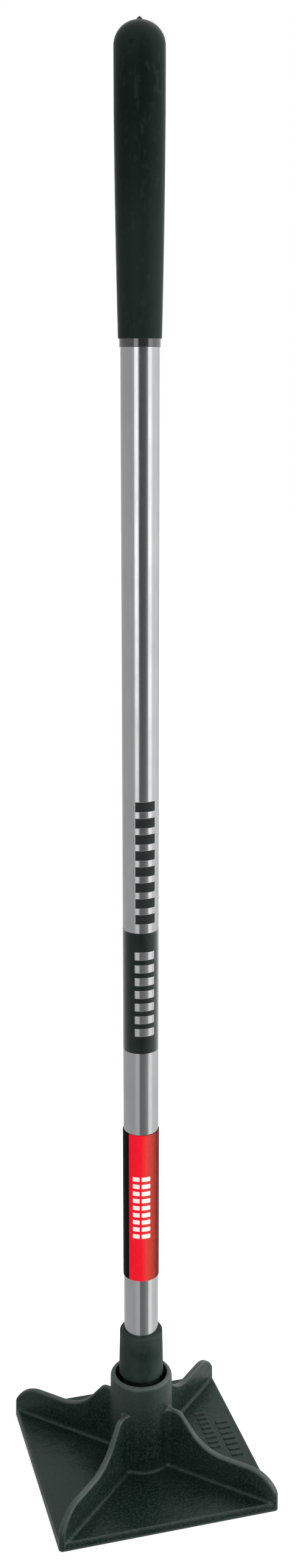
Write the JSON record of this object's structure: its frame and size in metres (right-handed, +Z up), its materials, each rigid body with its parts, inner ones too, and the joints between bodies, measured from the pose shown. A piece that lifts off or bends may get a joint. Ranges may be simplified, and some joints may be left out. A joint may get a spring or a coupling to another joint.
{
  "type": "hand tamper",
  "caption": "Long-handled hand tamper for packing soil: square ribbed cast-iron foot, steel tube handle wedged in its socket by a polymer bushing, and a soft closed-end grip.",
  "frame": {"origin": "centre of the flat working face, on the ground, under the handle's axis", "axes": "+Z up along the handle; X and Y parallel to the square foot's sides, with the raised foundry pads on the +X panel"},
  "size_m": [0.207, 0.207, 1.2835],
  "materials": {
    "black_iron": "satin black enamel over as-cast iron",
    "bushing_polymer": "matte black moulded polymer",
    "handle_steel": "bright drawn and plated steel tube",
    "plug_steel": "turned steel",
    "screw_steel": "zinc plated",
    "cap_polymer": "moulded polymer",
    "liner_vinyl": "glossy black vinyl",
    "grip_vinyl": "matte black dipped vinyl",
    "band_film": "black printed film",
    "label_red": "satin red label sleeve with a black strip"
  },
  "bodies": {
    "root": {"tamper_head": "black_iron", "socket_bushing": "bushing_polymer", "foot_plug": "plug_steel", "base_screw": "screw_steel", "handle_tube": "handle_steel", "end_cap": "cap_polymer", "grip_liner": "liner_vinyl", "hand_grip": "grip_vinyl", "band_decal": "band_film", "label_sleeve": "label_red"}
  },
  "joints": []
}
